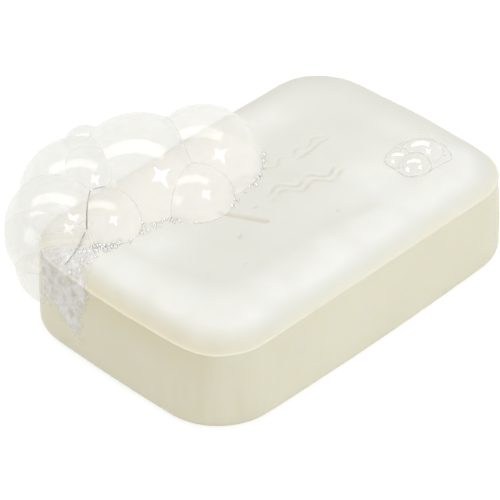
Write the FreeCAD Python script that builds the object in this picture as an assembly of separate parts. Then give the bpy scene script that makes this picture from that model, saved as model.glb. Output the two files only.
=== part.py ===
import FreeCAD, Part

import math
import os

# A pressed bath soap bar that has been wetted and used a little. One solid makes the bar: near
# upright sides, the thin raised line where the press closed, a pillow-shaped shoulder and crest,
# and a shallow dished panel. The lather that sits on it is made as closed solids of its own.
# Millimetres, +Z up, the origin in the middle of the flat base, the bar's length along X.

# Plan of the bar at its base
BASE_LENGTH = 96.0
BASE_WIDTH = 64.0
BASE_CORNER_RADIUS = 15.0
BASE_LONG_BOW = 1.2
BASE_END_BOW = 1.0
BASE_EDGE_ROUNDING = 1.8

# The parting line, where the two halves of the press met: its height, how far it lies inside the
# base's ends and long sides, and its own corners and bows
SEAM_HEIGHT = 19.0
END_DRAFT = 1.3
SIDE_DRAFT = 1.4
SEAM_CORNER_RADIUS = 12.5
SEAM_LONG_BOW = 0.4
SEAM_END_BOW = 2.2
SIDE_BULGE = 0.3
FLASH_PROUD = 0.3
FLASH_HALF_THICKNESS = 0.35

# The pillow-shaped top: the shoulder is an arc that starts at a slope and ends level at the crest
SHOULDER_SLOPE_DEGREES = 46.0
CREST_INSET = 9.0
CREST_CORNER_RADIUS = 10.5
PANEL_INSET = 16.0
PANEL_DEPTH = 0.9
PANEL_CORNER_RADIUS = 8.0

# How many rings carry each curved stretch of the bar, and how wide a bubble's flat panes are
BASE_STEPS = 3
SIDE_STEPS = 3
SHOULDER_STEPS = 5
DISH_STEPS = 4
BUBBLE_PANE = 3.0

# Large bubbles on the back left corner, placed by eye: how far in from the parting line's left
# end, how far in from its back, how far the centre lies below the crest, and the radius
LARGE_BUBBLES = {
    "middle": (31.5, 6.0, 2.5, 15.7),
    "back_right": (44.4, 12.2, 0.1, 12.6),
    "front_right": (34.7, 19.6, 0.9, 8.3),
    "front_left": (14.8, 12.2, 0.7, 8.2),
    "top_left": (18.8, 2.1, -3.2, 9.0),
    "left_corner": (9.0, 4.7, 1.8, 11.3),
    "left_end": (6.9, 5.9, 2.5, 10.6),
    "low_left": (3.9, 9.9, 6.0, 9.0),
    "back_left": (18.8, 0.6, 1.5, 12.9),
    "back_top": (26.6, -5.4, -4.2, 5.0),
}

# Small bubbles on the right hand part of the dished panel: how far in from the parting line's
# right end, how far in from its front, and the radius
SMALL_BUBBLES = {
    "large": (13.5, 17.8, 4.7),
    "left": (18.8, 19.6, 3.0),
    "front": (18.6, 15.2, 3.6),
}

# A thin patch of fine foam that lies on the shoulder near the back left corner and has run down
# the left end. Its outline seen from the left, placed by eye: how far in from the base's back, and
# how high as a share of the parting line's height
FOAM_THICKNESS = 1.2
FOAM_REACH = 9.0
FOAM_OUTLINE = [
    (8.0, 0.49),
    (15.5, 0.43),
    (20.0, 0.21),
    (23.1, 0.21),
    (26.0, 1.0),
    (21.0, 1.17),
    (21.0, 1.4),
    (8.0, 1.4),
]

# Sizes that follow from the ones above
SEAM_LENGTH = BASE_LENGTH - 2 * END_DRAFT
SEAM_WIDTH = BASE_WIDTH - 2 * SIDE_DRAFT
SHOULDER_SLOPE = math.radians(SHOULDER_SLOPE_DEGREES)
SHOULDER_RADIUS = CREST_INSET / math.sin(SHOULDER_SLOPE)
CREST_HEIGHT = SEAM_HEIGHT + SHOULDER_RADIUS * (1 - math.cos(SHOULDER_SLOPE))
PANEL_HEIGHT = CREST_HEIGHT - PANEL_DEPTH


def between(start, stop, share):
    """The value a share of the way from one value to another."""
    return start + (stop - start) * share


def crossing(x, radius_about_x, y, radius_about_y):
    """The crossing, right of and behind the middle, of circles about (x, 0) and (0, y)."""
    span = math.hypot(x, y)
    along = (span**2 + radius_about_x**2 - radius_about_y**2) / (2 * span)
    aside = math.sqrt(radius_about_x**2 - along**2)
    return x - (along * x + aside * y) / span, (along * y - aside * x) / span


def bowed_outline(length, width, corner_radius, long_bow, end_bow, height):
    """A closed wire of eight tangent arcs: four gently bowed sides and four round corners."""
    half_length = length / 2
    half_width = width / 2
    long_radius = (half_length**2 + long_bow**2) / (2 * long_bow)
    end_radius = (half_width**2 + end_bow**2) / (2 * end_bow)
    long_centre = FreeCAD.Vector(0, half_width - long_radius, height)
    end_centre = FreeCAD.Vector(half_length - end_radius, 0, height)
    corner = FreeCAD.Vector(
        *crossing(
            end_centre.x, end_radius - corner_radius, long_centre.y, long_radius - corner_radius
        ),
        height,
    )
    to_end = (corner - end_centre).normalize() * corner_radius
    to_long = (corner - long_centre).normalize() * corner_radius
    to_middle = (to_end + to_long).normalize() * corner_radius

    quarter = [corner + to_end, corner + to_middle, corner + to_long]
    corners = [
        quarter,
        [FreeCAD.Vector(-point.x, point.y, height) for point in reversed(quarter)],
        [FreeCAD.Vector(-point.x, -point.y, height) for point in quarter],
        [FreeCAD.Vector(point.x, -point.y, height) for point in reversed(quarter)],
    ]
    side_middles = [
        FreeCAD.Vector(0, half_width, height),
        FreeCAD.Vector(-half_length, 0, height),
        FreeCAD.Vector(0, -half_width, height),
        FreeCAD.Vector(half_length, 0, height),
    ]
    edges = []
    for index, (start, middle, stop) in enumerate(corners):
        following = corners[(index + 1) % len(corners)][0]
        edges.append(Part.Arc(start, middle, stop).toShape())
        edges.append(Part.Arc(stop, side_middles[index], following).toShape())
    return Part.Wire(edges)


def side_ring(height, grow):
    """The bar's outline at a height on its side, grown outwards by a distance."""
    share = height / SEAM_HEIGHT
    reach = grow + SIDE_BULGE * 4 * share * (1 - share)
    return bowed_outline(
        between(BASE_LENGTH, SEAM_LENGTH, share) + 2 * reach,
        between(BASE_WIDTH, SEAM_WIDTH, share) + 2 * reach,
        between(BASE_CORNER_RADIUS, SEAM_CORNER_RADIUS, share) + reach,
        between(BASE_LONG_BOW, SEAM_LONG_BOW, share),
        between(BASE_END_BOW, SEAM_END_BOW, share),
        height,
    )


def top_ring(inset, height, corner_radius):
    """The outline of the top, a distance in from the parting line."""
    width = SEAM_WIDTH - 2 * inset
    return bowed_outline(
        SEAM_LENGTH - 2 * inset,
        width,
        corner_radius,
        SEAM_LONG_BOW,
        SEAM_END_BOW * width / SEAM_WIDTH,
        height,
    )


def base_rings():
    """The rounded lower edge, a quarter circle."""
    rings = []
    for step in range(BASE_STEPS):
        turn = math.pi / 2 * step / BASE_STEPS
        height = BASE_EDGE_ROUNDING * (1 - math.cos(turn))
        rings.append(side_ring(height, -BASE_EDGE_ROUNDING * (1 - math.sin(turn))))
    return rings


def side_rings(low, high, grow):
    """The slightly barrelled side, from one height to another."""
    heights = [between(low, high, step / SIDE_STEPS) for step in range(SIDE_STEPS + 1)]
    return [side_ring(height, grow) for height in heights]


def shoulder_rings(first_turn, grow):
    """The shoulder's arc, from a slope up to the level crest, grown outwards by a distance."""
    rings = []
    for step in range(SHOULDER_STEPS + 1):
        turn = between(first_turn, 0, step / SHOULDER_STEPS)
        inset = CREST_INSET - (SHOULDER_RADIUS + grow) * math.sin(turn)
        height = CREST_HEIGHT - SHOULDER_RADIUS + (SHOULDER_RADIUS + grow) * math.cos(turn)
        radius = between(SEAM_CORNER_RADIUS, CREST_CORNER_RADIUS, inset / CREST_INSET)
        rings.append(top_ring(inset, height, radius))
    return rings


def dish_rings():
    """The soft fall from the crest to the flat floor of the dished panel."""
    rings = []
    for step in range(1, DISH_STEPS + 1):
        share = step / DISH_STEPS
        height = CREST_HEIGHT - PANEL_DEPTH * (1 - math.cos(math.pi * share)) / 2
        radius = between(CREST_CORNER_RADIUS, PANEL_CORNER_RADIUS, share)
        rings.append(top_ring(between(CREST_INSET, PANEL_INSET, share), height, radius))
    return rings


def soap_bar():
    """The bar, one pressed solid, drawn through its rings from the base to the dished panel."""
    rings = base_rings()
    rings += side_rings(BASE_EDGE_ROUNDING, SEAM_HEIGHT - FLASH_HALF_THICKNESS, 0)
    rings += [side_ring(SEAM_HEIGHT, FLASH_PROUD)]
    rings += shoulder_rings(SHOULDER_SLOPE - FLASH_HALF_THICKNESS / SHOULDER_RADIUS, 0)
    rings += dish_rings()
    return Part.makeLoft(rings, True, True)


def bubble(centre, radius):
    """A round bubble of flat panes, ring above ring, so that a raft of them stays light."""
    quarter_panes = max(3, round(math.pi / 2 * radius / BUBBLE_PANE))
    sides = 4 * quarter_panes
    rings = []
    for step in range(1, 2 * quarter_panes):
        rise = math.pi / 2 * (step / quarter_panes - 1)
        ring = []
        for side in range(sides):
            turn = 2 * math.pi * side / sides
            level = FreeCAD.Vector(math.cos(turn), math.sin(turn), 0) * math.cos(rise)
            ring.append(centre + (level + FreeCAD.Vector(0, 0, math.sin(rise))) * radius)
        rings.append(ring)
    bottom = centre - FreeCAD.Vector(0, 0, radius)
    top = centre + FreeCAD.Vector(0, 0, radius)
    panes = []
    for side in range(sides):
        following = (side + 1) % sides
        panes.append([bottom, rings[0][following], rings[0][side]])
        panes.append([top, rings[-1][side], rings[-1][following]])
        for low, high in zip(rings, rings[1:]):
            panes.append([low[side], low[following], high[following], high[side]])
    faces = [Part.Face(Part.makePolygon(pane + pane[:1])) for pane in panes]
    return Part.makeSolid(Part.makeShell(faces))


def raft(bubbles, bar):
    """Bubbles that have run together, cut off where they sit on the bar."""
    rounds = [bubble(centre, radius) for centre, radius in bubbles]
    return rounds[0].fuse(rounds[1:]).cut(bar)


def large_bubbles(bar):
    """The big bubbles on the back left corner."""
    left = -SEAM_LENGTH / 2
    back = SEAM_WIDTH / 2
    bubbles = [
        (FreeCAD.Vector(left + from_left, back - from_back, CREST_HEIGHT - below), radius)
        for from_left, from_back, below, radius in LARGE_BUBBLES.values()
    ]
    return raft(bubbles, bar)


def small_bubbles(bar):
    """The small domes on the right hand part of the dished panel."""
    right = SEAM_LENGTH / 2
    front = -SEAM_WIDTH / 2
    bubbles = [
        (FreeCAD.Vector(right - from_right, front + from_front, PANEL_HEIGHT), radius)
        for from_right, from_front, radius in SMALL_BUBBLES.values()
    ]
    return raft(bubbles, bar)


def fine_foam(bar, bubbles):
    """The thin patch of fine foam, which hugs the bar's shoulder and end."""
    rings = side_rings(0, SEAM_HEIGHT, FOAM_THICKNESS)
    rings += shoulder_rings(SHOULDER_SLOPE, FOAM_THICKNESS)
    skin = Part.makeLoft(rings, True, True)
    outside = -BASE_LENGTH
    corners = [
        FreeCAD.Vector(outside, BASE_WIDTH / 2 - from_back, share * SEAM_HEIGHT)
        for from_back, share in FOAM_OUTLINE
    ]
    patch = Part.Face(Part.makePolygon(corners + corners[:1]))
    column = patch.extrude(FreeCAD.Vector(FOAM_REACH - SEAM_LENGTH / 2 - outside, 0, 0))
    return skin.common(column).cut([bar, bubbles])


def main():
    os.makedirs("parts", exist_ok=True)
    bar = soap_bar()
    bubbles = large_bubbles(bar)
    nodes = {
        "soap_bar": bar,
        "large_bubbles": bubbles,
        "small_bubbles": small_bubbles(bar),
        "fine_foam": fine_foam(bar, bubbles),
    }
    for name, shape in nodes.items():
        print(name, "valid", shape.isValid(), "solids", len(shape.Solids), "mm3", shape.Volume)
        shape.exportStep("parts/" + name + ".step")


main()
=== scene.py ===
import math

import bmesh
import bpy
import numpy as np
from mathutils import Matrix, Vector, noise
from mathutils.bvhtree import BVHTree


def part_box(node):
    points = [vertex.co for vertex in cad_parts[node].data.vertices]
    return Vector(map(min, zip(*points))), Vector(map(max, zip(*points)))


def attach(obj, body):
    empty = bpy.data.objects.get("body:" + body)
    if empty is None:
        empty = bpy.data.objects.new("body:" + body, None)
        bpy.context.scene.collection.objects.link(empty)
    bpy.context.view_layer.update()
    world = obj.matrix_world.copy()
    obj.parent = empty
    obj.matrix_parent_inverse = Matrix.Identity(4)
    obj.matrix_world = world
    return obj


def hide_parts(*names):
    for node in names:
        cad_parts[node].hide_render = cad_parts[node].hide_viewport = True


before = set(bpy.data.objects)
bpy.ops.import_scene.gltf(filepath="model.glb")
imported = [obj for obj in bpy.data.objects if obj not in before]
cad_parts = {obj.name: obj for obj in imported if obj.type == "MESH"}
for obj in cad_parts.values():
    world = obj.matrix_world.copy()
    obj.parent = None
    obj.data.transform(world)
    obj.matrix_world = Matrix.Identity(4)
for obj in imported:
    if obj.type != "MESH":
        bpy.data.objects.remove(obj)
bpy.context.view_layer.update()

bl_info = {
    "name": "Bar of Soap with Lather",
    "version": (1, 0, 0),
    "blender": (4, 5, 0),
    "location": "View3D > Sidebar > Soap",
    "description": "Builds the finished skin, the bubbles and the foam of a wetted bar of soap",
    "category": "Add Mesh",
}

# A pressed bath soap bar that lies on its flat face, with a raft of clear bubbles on its back left
# corner, foam on its left end and a small cluster of bubbles on its right hand part. Metres, +Z
# up, the origin in the middle of the flat base, as in the frame.

MM = 0.001
BODY = "root"
BAR_LOW, BAR_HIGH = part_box("soap_bar")

# Large bubbles: centre x, y, z and radius, in millimetres
LARGE_BUBBLES = {
    "middle": (-15.2, 24.6, 20.3, 15.7),
    "back_right": (-2.3, 18.4, 22.7, 12.6),
    "front_right": (-12.0, 11.0, 21.9, 8.3),
    "front_left": (-31.9, 18.4, 22.1, 8.2),
    "top_left": (-28.3, 27.9, 25.8, 8.6),
    "left_corner": (-37.7, 25.9, 21.0, 11.3),
    "left_end": (-39.8, 24.7, 20.3, 10.6),
    "low_left": (-42.8, 20.7, 16.8, 9.0),
    "back_left": (-27.9, 30.0, 21.3, 12.9),
    "back_top": (-20.1, 36.0, 27.0, 5.0),
}

# Small bubbles on the right hand part of the top: centre x, y, z and radius, in millimetres
SMALL_BUBBLES = {
    "large": (33.2, -12.8, 21.9, 4.7),
    "left": (27.9, -11.0, 21.9, 3.0),
    "front": (28.1, -15.4, 21.9, 3.6),
    "tip_back": (36.8, -16.3, 22.1, 0.6),
    "tip_middle": (35.4, -17.4, 22.1, 0.65),
    "tip_front": (35.5, -18.5, 22.1, 0.45),
    "left_tip": (25.9, -9.6, 22.1, 0.5),
}

# The skirt of wet film round the small bubbles: x and y of its corners, in millimetres
SMALL_SKIRT = [
    (24.9, -9.0),
    (27.4, -7.7),
    (30.2, -7.3),
    (33.1, -7.5),
    (36.5, -9.3),
    (38.4, -12.3),
    (38.0, -15.6),
    (35.8, -19.7),
    (33.1, -19.1),
    (30.1, -18.9),
    (27.3, -18.5),
    (25.0, -17.1),
    (24.4, -14.8),
    (25.0, -12.2),
]

# A dark wet line that runs on from the front left bubble's foot, and the places where beads of
# foam have gathered on the open top: x and y, in millimetres
WET_LINE = [(-36.9, 18.4), (-40.2, 16.5), (-42.2, 15.9), (-43.9, 15.8), (-45.2, 15.9)]
BEAD_LINES = [
    [(-36.1, 9.6), (-38.2, 10.9), (-40.6, 11.6), (-43.0, 12.0), (-44.6, 12.6)],
    [(-35.8, 11.6), (-38.0, 13.2), (-40.4, 14.0), (-42.4, 14.4)],
    [(-44.4, 12.4), (-45.4, 13.6), (-45.6, 16.0), (-45.2, 18.2)],
    [(-26.3, 10.4), (-22.1, 10.0), (-19.0, 9.4)],
    [(-5.2, 7.6), (-3.0, 8.2), (-1.0, 8.0), (1.6, 8.0)],
]

# Where fine beads of foam have gathered along the foot of a large bubble: the bubble, the first
# and last direction about its middle in degrees from +X, and the seed of their scatter
BEAD_STRETCHES = [
    ("middle", 248, 292, 1),
    ("front_left", 235, 330, 2),
    ("front_left", 190, 245, 3),
    ("front_right", 285, 340, 4),
    ("front_right", 190, 240, 5),
    ("back_right", 268, 330, 6),
    ("back_right", 40, 80, 7),
    ("left_corner", 285, 330, 8),
]

# Worn waves pressed into the panel in two rows: middle x, y, heading in degrees, length, swing of
# the wave, wave length, groove half width and depth, in millimetres
RIPPLES = [
    (8.6, -0.6, -16.5, 21.0, 1.1, 7.4, 0.5, 0.22),
    (8.2, -2.6, -16.5, 21.0, 1.0, 7.4, 0.5, 0.2),
    (14.6, 7.6, -1.0, 20.0, 0.6, 5.0, 0.42, 0.16),
    (18.4, 5.6, 2.0, 12.0, 0.1, 9.0, 0.42, 0.2),
]

# Small dents of use in the panel: x, y, half length, heading in degrees, half width and depth, mm
DENTS = [
    (-9.1, -0.4, 4.9, -64.0, 0.75, 0.36),
    (-5.0, 0.1, 0.3, 0.0, 0.35, 0.25),
    (-14.4, -4.7, 0.5, 30.0, 0.35, 0.25),
    (-20.3, -12.0, 0.3, 0.0, 0.3, 0.12),
    (6.0, -13.4, 0.4, 60.0, 0.3, 0.12),
]

# Places on the top that are washed pale and painted with a sheen: x, y, reach in millimetres, and how
# much
WASHED_AND_SHEEN_SPOTS = [
    (20.0, -16.0, 13.0, 1.0),
    (-30.0, 8.0, 9.0, 0.9),
    (36.0, -10.0, 8.0, 0.5),
]


class SoapBarSettings(bpy.types.PropertyGroup):
    """Sizes and colours of the bar."""

    seam_height: bpy.props.FloatProperty(
        name="Parting line height", description="Height of the raised line above the base",
        default=19.0 * MM, unit="LENGTH",
    )
    seam_length: bpy.props.FloatProperty(
        name="Parting line length", description="Length of the bar at its raised line",
        default=93.4 * MM, unit="LENGTH",
    )
    seam_width: bpy.props.FloatProperty(
        name="Parting line width", description="Width of the bar at its raised line",
        default=61.2 * MM, unit="LENGTH",
    )
    crest_inset: bpy.props.FloatProperty(
        name="Crest inset", description="How far the level crest lies in from the raised line",
        default=9.0 * MM, unit="LENGTH",
    )
    panel_inset: bpy.props.FloatProperty(
        name="Panel inset", description="How far the dished panel lies in from the raised line",
        default=17.5 * MM, unit="LENGTH",
    )
    panel_depth: bpy.props.FloatProperty(
        name="Panel depth", description="How deep the dished panel lies under the crest",
        default=0.9 * MM, unit="LENGTH",
    )
    shoulder_slope: bpy.props.FloatProperty(
        name="Shoulder slope", description="Slope of the shoulder where it leaves the raised line",
        default=math.radians(46.0), unit="ROTATION",
    )
    flash_proud: bpy.props.FloatProperty(
        name="Raised line", description="How far the pressed line stands out from the side",
        default=0.24 * MM, unit="LENGTH",
    )
    flash_droop: bpy.props.FloatProperty(
        name="Line droop", description="How far the line hangs down round the front left corner",
        default=0.25 * MM, unit="LENGTH",
    )
    unevenness: bpy.props.FloatProperty(
        name="Unevenness", description="How far the worn faces wander from the pressed form",
        default=0.14 * MM, unit="LENGTH",
    )
    # The top's colours are paler and less yellow than the side colour: painted light for the stronger
    # light on the top.
    top_colour: bpy.props.FloatVectorProperty(
        name="Panel colour", description="Colour of the dished panel", subtype="COLOR", size=3,
        default=(0.83, 0.83, 0.765), min=0.0, max=1.0,
    )
    # The crest colour is partly washed soap and partly a painted sheen.
    crest_washed_sheen_colour: bpy.props.FloatVectorProperty(
        name="Crest colour", description="Colour of the washed, paler crest", subtype="COLOR",
        size=3, default=(0.93, 0.93, 0.89), min=0.0, max=1.0,
    )
    # Painted shade: the shoulder colour stands for the shade just above the raised line at the left end.
    shoulder_shade_colour: bpy.props.FloatVectorProperty(
        name="Shoulder colour", description="Colour just above the raised line at the left end",
        subtype="COLOR", size=3, default=(0.78, 0.75, 0.61), min=0.0, max=1.0,
    )
    side_colour: bpy.props.FloatVectorProperty(
        name="Side colour", description="Colour of the pressed sides", subtype="COLOR", size=3,
        default=(0.885, 0.848, 0.672), min=0.0, max=1.0,
    )


class LatherSettings(bpy.types.PropertyGroup):
    """Sizes and colours of the bubbles, the beads and the foam."""

    border_radius: bpy.props.FloatProperty(
        name="Border radius", description="Half thickness of the wet line where two films meet",
        default=0.09 * MM, unit="LENGTH",
    )
    foot_radius: bpy.props.FloatProperty(
        name="Foot radius", description="Half thickness of the wet line where a film meets soap",
        default=0.13 * MM, unit="LENGTH",
    )
    bead_spacing: bpy.props.FloatProperty(
        name="Bead spacing", description="Distance between beads along a bubble's foot",
        default=0.38 * MM, unit="LENGTH",
    )
    bead_largest: bpy.props.FloatProperty(
        name="Largest bead", description="Radius of the largest bead at a bubble's foot",
        default=0.75 * MM, unit="LENGTH",
    )
    foam_spacing: bpy.props.FloatProperty(
        name="Foam spacing", description="Least distance between two cells of the foam",
        default=1.9 * MM, unit="LENGTH",
    )
    foam_largest: bpy.props.FloatProperty(
        name="Largest foam cell", description="Radius of the largest cell of the foam",
        default=0.8 * MM, unit="LENGTH",
    )
    film_clear: bpy.props.FloatVectorProperty(
        name="Film, seen square on", description="What a film lets through where it faces you",
        subtype="COLOR", size=3, default=(0.965, 0.965, 0.955), min=0.0, max=1.0,
    )
    film_rim: bpy.props.FloatVectorProperty(
        name="Film, seen edge on", description="What a film lets through at its outline",
        subtype="COLOR", size=3, default=(0.92, 0.925, 0.92), min=0.0, max=1.0,
    )
    bead_rim: bpy.props.FloatVectorProperty(
        name="Bead, seen edge on", description="What a tiny bubble lets through at its outline",
        subtype="COLOR", size=3, default=(0.8, 0.79, 0.76), min=0.0, max=1.0,
    )
    foam_rim: bpy.props.FloatVectorProperty(
        name="Foam cell, seen edge on", description="What a cell of the foam lets through there",
        subtype="COLOR", size=3, default=(0.95, 0.95, 0.95), min=0.0, max=1.0,
    )
    milk_colour: bpy.props.FloatVectorProperty(
        name="Milkiness", description="What the droplets of a film scatter to each of its sides",
        subtype="COLOR", size=3, default=(0.535, 0.533, 0.52), min=0.0, max=1.0,
    )


class StageSettings(bpy.types.PropertyGroup):
    """The camera's place, the lamps and the floor."""

    azimuth: bpy.props.FloatProperty(
        name="Azimuth", description="The camera's direction round the bar",
        default=math.radians(-44.957), unit="ROTATION",
    )
    elevation: bpy.props.FloatProperty(
        name="Elevation", description="The camera's height above the horizon",
        default=math.radians(37.835), unit="ROTATION",
    )
    roll: bpy.props.FloatProperty(
        name="Roll", description="The camera's turn about its own axis",
        default=math.radians(-0.738), unit="ROTATION",
    )
    distance: bpy.props.FloatProperty(
        name="Distance", description="From the camera to the point it looks at",
        default=621.6 * MM, unit="LENGTH",
    )
    lens: bpy.props.FloatProperty(
        name="Focal length", description="On a sensor 36 mm wide", default=210.44, unit="CAMERA",
    )
    lamp_height: bpy.props.FloatProperty(
        name="Lamp height", description="Height of the long softbox above the bar",
        default=0.8, unit="LENGTH",
    )


def interpolate(start, stop, share):
    """The value a share of the way from one value to another."""
    return start + (stop - start) * share


def smooth_step(low, high, value):
    """A soft rise from 0 to 1 as the value goes from low to high."""
    share = np.clip((value - low) / (high - low), 0.0, 1.0)
    return share * share * (3 - 2 * share)


def rough_field(points, wave_length, seed):
    """Soft noise about zero at each point, with hills of a given length."""
    shift = Vector((seed * 7.3, seed * 3.1, seed * 5.7))
    return np.array([noise.noise(Vector(point) / wave_length + shift) for point in points])


# The bar

OUTLINE_STEPS = (40, 44, 76)
BASE_CORNER_RADIUS = 15.0 * MM
BASE_LONG_BOW = 1.2 * MM
BASE_END_BOW = 1.0 * MM
BASE_EDGE_ROUNDING = 1.8 * MM
SEAM_CORNER_RADIUS = 12.5 * MM
SEAM_LONG_BOW = 0.4 * MM
SEAM_END_BOW = 2.2 * MM
SIDE_BULGE = 0.3 * MM
CREST_CORNER_RADIUS = 10.5 * MM
PANEL_CORNER_RADIUS = 8.0 * MM
BASE_STEPS = 8
SIDE_STEPS = 12
SHOULDER_STEPS = 20
DISH_STEPS = 14
PANEL_STEPS = 66
UNDERSIDE_STEPS = 4
FLASH_PROFILE = ((-0.4, 0.0), (-0.24, 0.1), (-0.13, 0.6), (-0.04, 1.0), (0.05, 0.95), (0.14, 0.4))
FRONT_LEFT_CORNER = (-44.0 * MM, -28.5 * MM)


def bowed_outline(length, width, corner_radius, long_bow, end_bow):
    """Points round eight tangent arcs: four gently bowed sides and four round corners."""
    half_length = length / 2
    half_width = width / 2
    long_radius = (half_length**2 + long_bow**2) / (2 * long_bow)
    end_radius = (half_width**2 + end_bow**2) / (2 * end_bow)
    end_x = half_length - end_radius
    long_y = half_width - long_radius
    to_end = end_radius - corner_radius
    to_long = long_radius - corner_radius
    span = math.hypot(end_x, long_y)
    along = (span**2 + to_end**2 - to_long**2) / (2 * span)
    aside = math.sqrt(to_end**2 - along**2)
    corner_x = end_x - (along * end_x + aside * long_y) / span
    corner_y = (along * long_y - aside * end_x) / span
    first = math.atan2(corner_y, corner_x - end_x)
    second = math.atan2(corner_y - long_y, corner_x)
    arcs = (
        (end_x, 0.0, end_radius, 0.0, first),
        (corner_x, corner_y, corner_radius, first, second),
        (0.0, long_y, long_radius, second, math.pi / 2),
    )
    quarter = []
    for (x, y, radius, start, stop), steps in zip(arcs, OUTLINE_STEPS):
        turns = np.linspace(start, stop, steps, endpoint=False)
        quarter.append(np.column_stack((x + radius * np.cos(turns), y + radius * np.sin(turns))))
    quarter = np.vstack(quarter + [np.array([[0.0, half_width]])])
    turned = quarter[::-1]
    return np.vstack(
        (quarter[:-1], (turned * (-1, 1))[:-1], (quarter * (-1, -1))[:-1], (turned * (1, -1))[:-1])
    )


def side_outline(settings, height, grow):
    """The bar's outline at a height on its side, grown outwards by a distance."""
    share = height / settings.seam_height
    reach = grow + SIDE_BULGE * 4 * share * (1 - share)
    base_length = BAR_HIGH.x - BAR_LOW.x
    base_width = BAR_HIGH.y - BAR_LOW.y
    return bowed_outline(
        interpolate(base_length, settings.seam_length, share) + 2 * reach,
        interpolate(base_width, settings.seam_width, share) + 2 * reach,
        interpolate(BASE_CORNER_RADIUS, SEAM_CORNER_RADIUS, share) + reach,
        interpolate(BASE_LONG_BOW, SEAM_LONG_BOW, share),
        interpolate(BASE_END_BOW, SEAM_END_BOW, share),
    )


def top_outline(settings, inset):
    """The outline of the top, a distance in from the raised line."""
    width = settings.seam_width - 2 * inset
    if inset < settings.crest_inset:
        radius = interpolate(SEAM_CORNER_RADIUS, CREST_CORNER_RADIUS, inset / settings.crest_inset)
    else:
        share = (inset - settings.crest_inset) / (settings.panel_inset - settings.crest_inset)
        radius = interpolate(CREST_CORNER_RADIUS, PANEL_CORNER_RADIUS, share)
    end_bow = SEAM_END_BOW * width / settings.seam_width
    return bowed_outline(settings.seam_length - 2 * inset, width, radius, SEAM_LONG_BOW, end_bow)


def top_height(settings, inset):
    """The height of the pillow-shaped top, a distance in from the raised line."""
    radius = settings.crest_inset / math.sin(settings.shoulder_slope)
    crest = settings.seam_height + radius * (1 - math.cos(settings.shoulder_slope))
    if inset < settings.crest_inset:
        turn = math.asin((settings.crest_inset - inset) / radius)
        return crest - radius * (1 - math.cos(turn))
    share = min(1.0, (inset - settings.crest_inset) / (settings.panel_inset - settings.crest_inset))
    return crest - settings.panel_depth * (1 - math.cos(math.pi * share)) / 2


def at_height(outline, height):
    """An outline's points at one height."""
    return np.column_stack((outline, np.full(len(outline), height)))


def towards_middle(outline, share, half_spine):
    """An outline drawn a share of the way in to a short line along its middle."""
    spine = np.column_stack((np.clip(outline[:, 0], -half_spine, half_spine), outline[:, 1] * 0))
    return interpolate(outline, spine, share)


def bar_rings(settings):
    """Every ring of the bar's skin, from the middle of the underside to the middle of the top."""
    foot = side_outline(settings, 0.0, -BASE_EDGE_ROUNDING)
    half_spine = (settings.seam_length - settings.seam_width) / 2
    rings = []
    for step in range(UNDERSIDE_STEPS):
        rings.append(at_height(towards_middle(foot, 1 - step / UNDERSIDE_STEPS, half_spine), 0.0))
    for step in range(BASE_STEPS):
        turn = math.pi / 2 * step / BASE_STEPS
        height = BASE_EDGE_ROUNDING * (1 - math.cos(turn))
        grow = -BASE_EDGE_ROUNDING * (1 - math.sin(turn))
        rings.append(at_height(side_outline(settings, height, grow), height))
    flash_foot = settings.seam_height + FLASH_PROFILE[0][0] * MM
    for step in range(SIDE_STEPS):
        height = interpolate(BASE_EDGE_ROUNDING, flash_foot, step / SIDE_STEPS)
        rings.append(at_height(side_outline(settings, height, 0.0), height))
    for rise, share in FLASH_PROFILE:
        height = settings.seam_height + rise * MM
        rings.append(at_height(side_outline(settings, height, settings.flash_proud * share), height))
    first_inset = 0.26 * MM
    for step in range(SHOULDER_STEPS):
        inset = interpolate(first_inset, settings.crest_inset, step / SHOULDER_STEPS)
        rings.append(at_height(top_outline(settings, inset), top_height(settings, inset)))
    for step in range(DISH_STEPS):
        inset = interpolate(settings.crest_inset, settings.panel_inset, step / DISH_STEPS)
        rings.append(at_height(top_outline(settings, inset), top_height(settings, inset)))
    panel = top_outline(settings, settings.panel_inset)
    for step in range(PANEL_STEPS + 1):
        outline = towards_middle(panel, step / PANEL_STEPS, half_spine)
        rings.append(at_height(outline, top_height(settings, settings.panel_inset)))
    return np.array(rings)


def groove_depths(points):
    """How deep the worn ripples and the dents of use lie at each point of the top."""
    depth = np.zeros(len(points))
    wear = 0.8 + 1.0 * rough_field(points, 3.0 * MM, 11)
    for x, y, heading, length, swing, wave, half_width, deep in RIPPLES:
        turn = math.radians(heading)
        offset = points[:, :2] / MM - (x, y)
        along = offset[:, 0] * math.cos(turn) + offset[:, 1] * math.sin(turn)
        across = offset[:, 1] * math.cos(turn) - offset[:, 0] * math.sin(turn)
        phase = 2 * math.pi * along / wave
        line = swing * np.sin(phase)
        slope = swing * 2 * math.pi / wave * np.cos(phase)
        aside = (across - line) / np.sqrt(1 + slope**2)
        ends = 1 - smooth_step(length / 2 - 2.5, length / 2, np.abs(along))
        profile = np.exp(-((aside / half_width) ** 2))
        rim = np.exp(-(((aside - 1.7 * half_width) / half_width) ** 2))
        depth += deep * MM * ends * np.clip(wear, 0.2, 1.0) * (profile - 0.35 * rim)
    for x, y, half_length, heading, half_width, deep in DENTS:
        turn = math.radians(heading)
        offset = points[:, :2] / MM - (x, y)
        along = offset[:, 0] * math.cos(turn) + offset[:, 1] * math.sin(turn)
        across = offset[:, 1] * math.cos(turn) - offset[:, 0] * math.sin(turn)
        beyond = np.maximum(np.abs(along) - half_length, 0.0)
        depth += deep * MM * np.exp(-(across**2 + beyond**2) / half_width**2)
    return depth


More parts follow.
